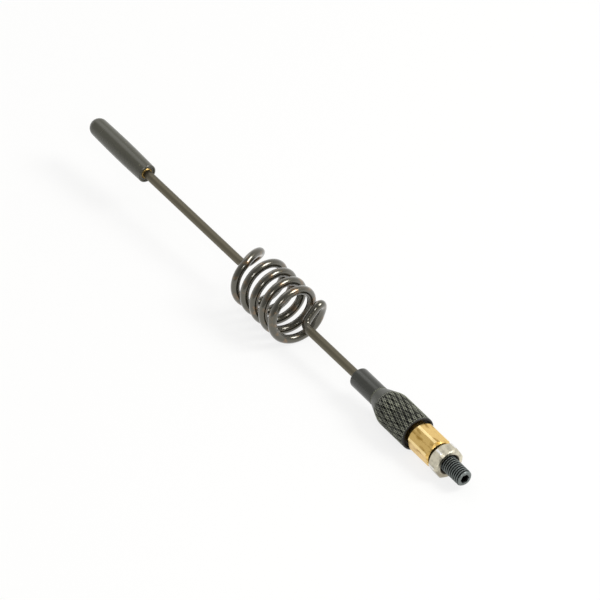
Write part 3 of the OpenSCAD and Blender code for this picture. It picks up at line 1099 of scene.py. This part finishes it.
# Share of the floor that shows as plain white paper, to the camera and in the metal
FLOOR_PAPER = 0.8
KEY_PLACE = Vector((0.55, 0.62, 0.85))
KEY_SIZE = 0.5
FRONT_PLACE = Vector((0.95, -0.35, 0.75))
FRONT_SIZE = 0.25
TOP_PLACE = Vector((-0.74, 0.11, 0.8))
TOP_SIZE = 0.5
# The bright side of the room, as a direction
BRIGHT_WAY = (-0.67, 0.45, -0.59)
# Nearest and furthest distance that the camera sees
CAMERA_RANGE = (0.1, 20)


def paper_floor():
    """White paper that keeps the aerial's shadow."""
    finish = Finish("white_paper", Base_Color=FLOOR_WHITE, Roughness=0.9)
    paper = finish.node("ShaderNodeEmission", {}, {"Color": (1.0, 1.0, 1.0), "Strength": 1.0})
    rays = [
        finish.node("ShaderNodeLightPath", {}, {}, output)
        for output in ("Is Camera Ray", "Is Glossy Ray", "Is Transmission Ray")]
    seen = rays[0] + rays[1] + rays[2]
    shown = finish.node(
        "ShaderNodeMixShader", {},
        {0: seen * FLOOR_PAPER, 1: Signal(finish, finish.shader.outputs[0]), 2: paper})
    finish.put(finish.tree.nodes["Material Output"].inputs["Surface"], shown)
    return finish.material


def room_light(dark, bright):
    """The room's light, brighter behind the aerial than on the camera's side."""
    world = bpy.data.worlds.new("studio_room")
    bpy.context.scene.world = world
    world.use_nodes = True
    room = Nodes(world.node_tree)
    way = room.node("ShaderNodeTexCoord", {}, {}, "Generated")
    toward = room.node(
        "ShaderNodeVectorMath", {"operation": "DOT_PRODUCT"}, {0: way, 1: BRIGHT_WAY}, "Value")
    level = room.ramp(toward * 0.5 + 0.5, (0, dark), (0.8, bright))
    room.put(room.tree.nodes["Background"].inputs["Color"], level)


def area_light(name, place, size, power):
    """A soft square light that faces the aerial."""
    light = bpy.data.lights.new(name, "AREA")
    light.size = size
    light.energy = power
    lamp = bpy.data.objects.new(name, light)
    bpy.context.scene.collection.objects.link(lamp)
    lamp.location = place
    lamp.rotation_mode = "QUATERNION"
    lamp.rotation_quaternion = (-place).to_track_quat("-Z", "Y")


class AERIAL_OT_stage(bpy.types.Operator):
    """Lay the floor, hang the lights and set up the camera."""

    bl_idname = "aerial.stage"
    bl_label = "Stage"

    def execute(self, context):
        stage = context.scene.aerial_stage
        build = bmesh.new()
        bmesh.ops.create_grid(build, x_segments=1, y_segments=1, size=FLOOR_SIZE / 2)
        mesh = bpy.data.meshes.new("floor")
        build.to_mesh(mesh)
        build.free()
        mesh.materials.append(paper_floor())
        floor = bpy.data.objects.new("floor", mesh)
        context.scene.collection.objects.link(floor)
        room_light(stage.dark_side, stage.bright_side)
        area_light("key_light", KEY_PLACE, KEY_SIZE, stage.key_power)
        area_light("front_light", FRONT_PLACE, FRONT_SIZE, stage.front_power)
        area_light("top_light", TOP_PLACE, TOP_SIZE, stage.top_power)
        self.place_camera(context, stage)
        context.scene.view_settings.view_transform = "Standard"
        return {"FINISHED"}

    def place_camera(self, context, stage):
        """The camera stands where the photograph was taken from."""
        flat, high = math.cos(stage.elevation), math.sin(stage.elevation)
        back = Vector((math.sin(stage.azimuth) * flat, -math.cos(stage.azimuth) * flat, high))
        right = Vector((math.cos(stage.azimuth), math.sin(stage.azimuth), 0))
        up = back.cross(right)
        target = MAST.translation + right * stage.view_right - up * stage.view_down
        lens = bpy.data.cameras.new("camera")
        lens.lens = stage.lens
        lens.clip_start, lens.clip_end = CAMERA_RANGE
        camera = bpy.data.objects.new("camera", lens)
        context.scene.collection.objects.link(camera)
        camera.matrix_world = (
            Matrix.Translation(target + back * stage.distance)
            @ Matrix((right, up, back)).transposed().to_4x4())
        context.scene.camera = camera


# The panel and the run


class AERIAL_PT_panel(bpy.types.Panel):
    """The steps that build the aerial, in order."""

    bl_idname = "AERIAL_PT_panel"
    bl_label = "Mast Aerial"
    bl_space_type = "VIEW_3D"
    bl_region_type = "UI"
    bl_category = "Mast Aerial"

    def draw(self, context):
        for step in STEPS:
            self.layout.operator(step.bl_idname)
        for group in GROUPS:
            settings = getattr(context.scene, group)
            box = self.layout.box()
            for name in settings.__annotations__:
                box.prop(settings, name)


GROUPS = {
    "aerial_wire": WireSizes,
    "aerial_grip": GripSizes,
    "aerial_fittings": FittingSizes,
    "aerial_colours": FinishColours,
    "aerial_stage": StageSettings,
}
STEPS = (
    AERIAL_OT_mast_wire,
    AERIAL_OT_tip_cap,
    AERIAL_OT_knurled_grip,
    AERIAL_OT_hex_adapter,
    AERIAL_OT_threaded_stud,
    AERIAL_OT_lock_nut,
    AERIAL_OT_stage,
)


def register():
    """Registers the settings, the operators and the panel."""
    for group, kind in GROUPS.items():
        bpy.utils.register_class(kind)
        setattr(bpy.types.Scene, group, bpy.props.PointerProperty(type=kind))
    for kind in (*STEPS, AERIAL_PT_panel):
        bpy.utils.register_class(kind)


def unregister():
    """Takes them all away again, in the opposite order."""
    for kind in (AERIAL_PT_panel, *reversed(STEPS)):
        bpy.utils.unregister_class(kind)
    for group, kind in reversed(GROUPS.items()):
        delattr(bpy.types.Scene, group)
        bpy.utils.unregister_class(kind)


def main():
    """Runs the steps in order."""
    register()
    for step in STEPS:
        family, name = step.bl_idname.split(".")
        getattr(getattr(bpy.ops, family), name)()
    bpy.context.view_layer.update()


if __name__ == "__main__":
    main()
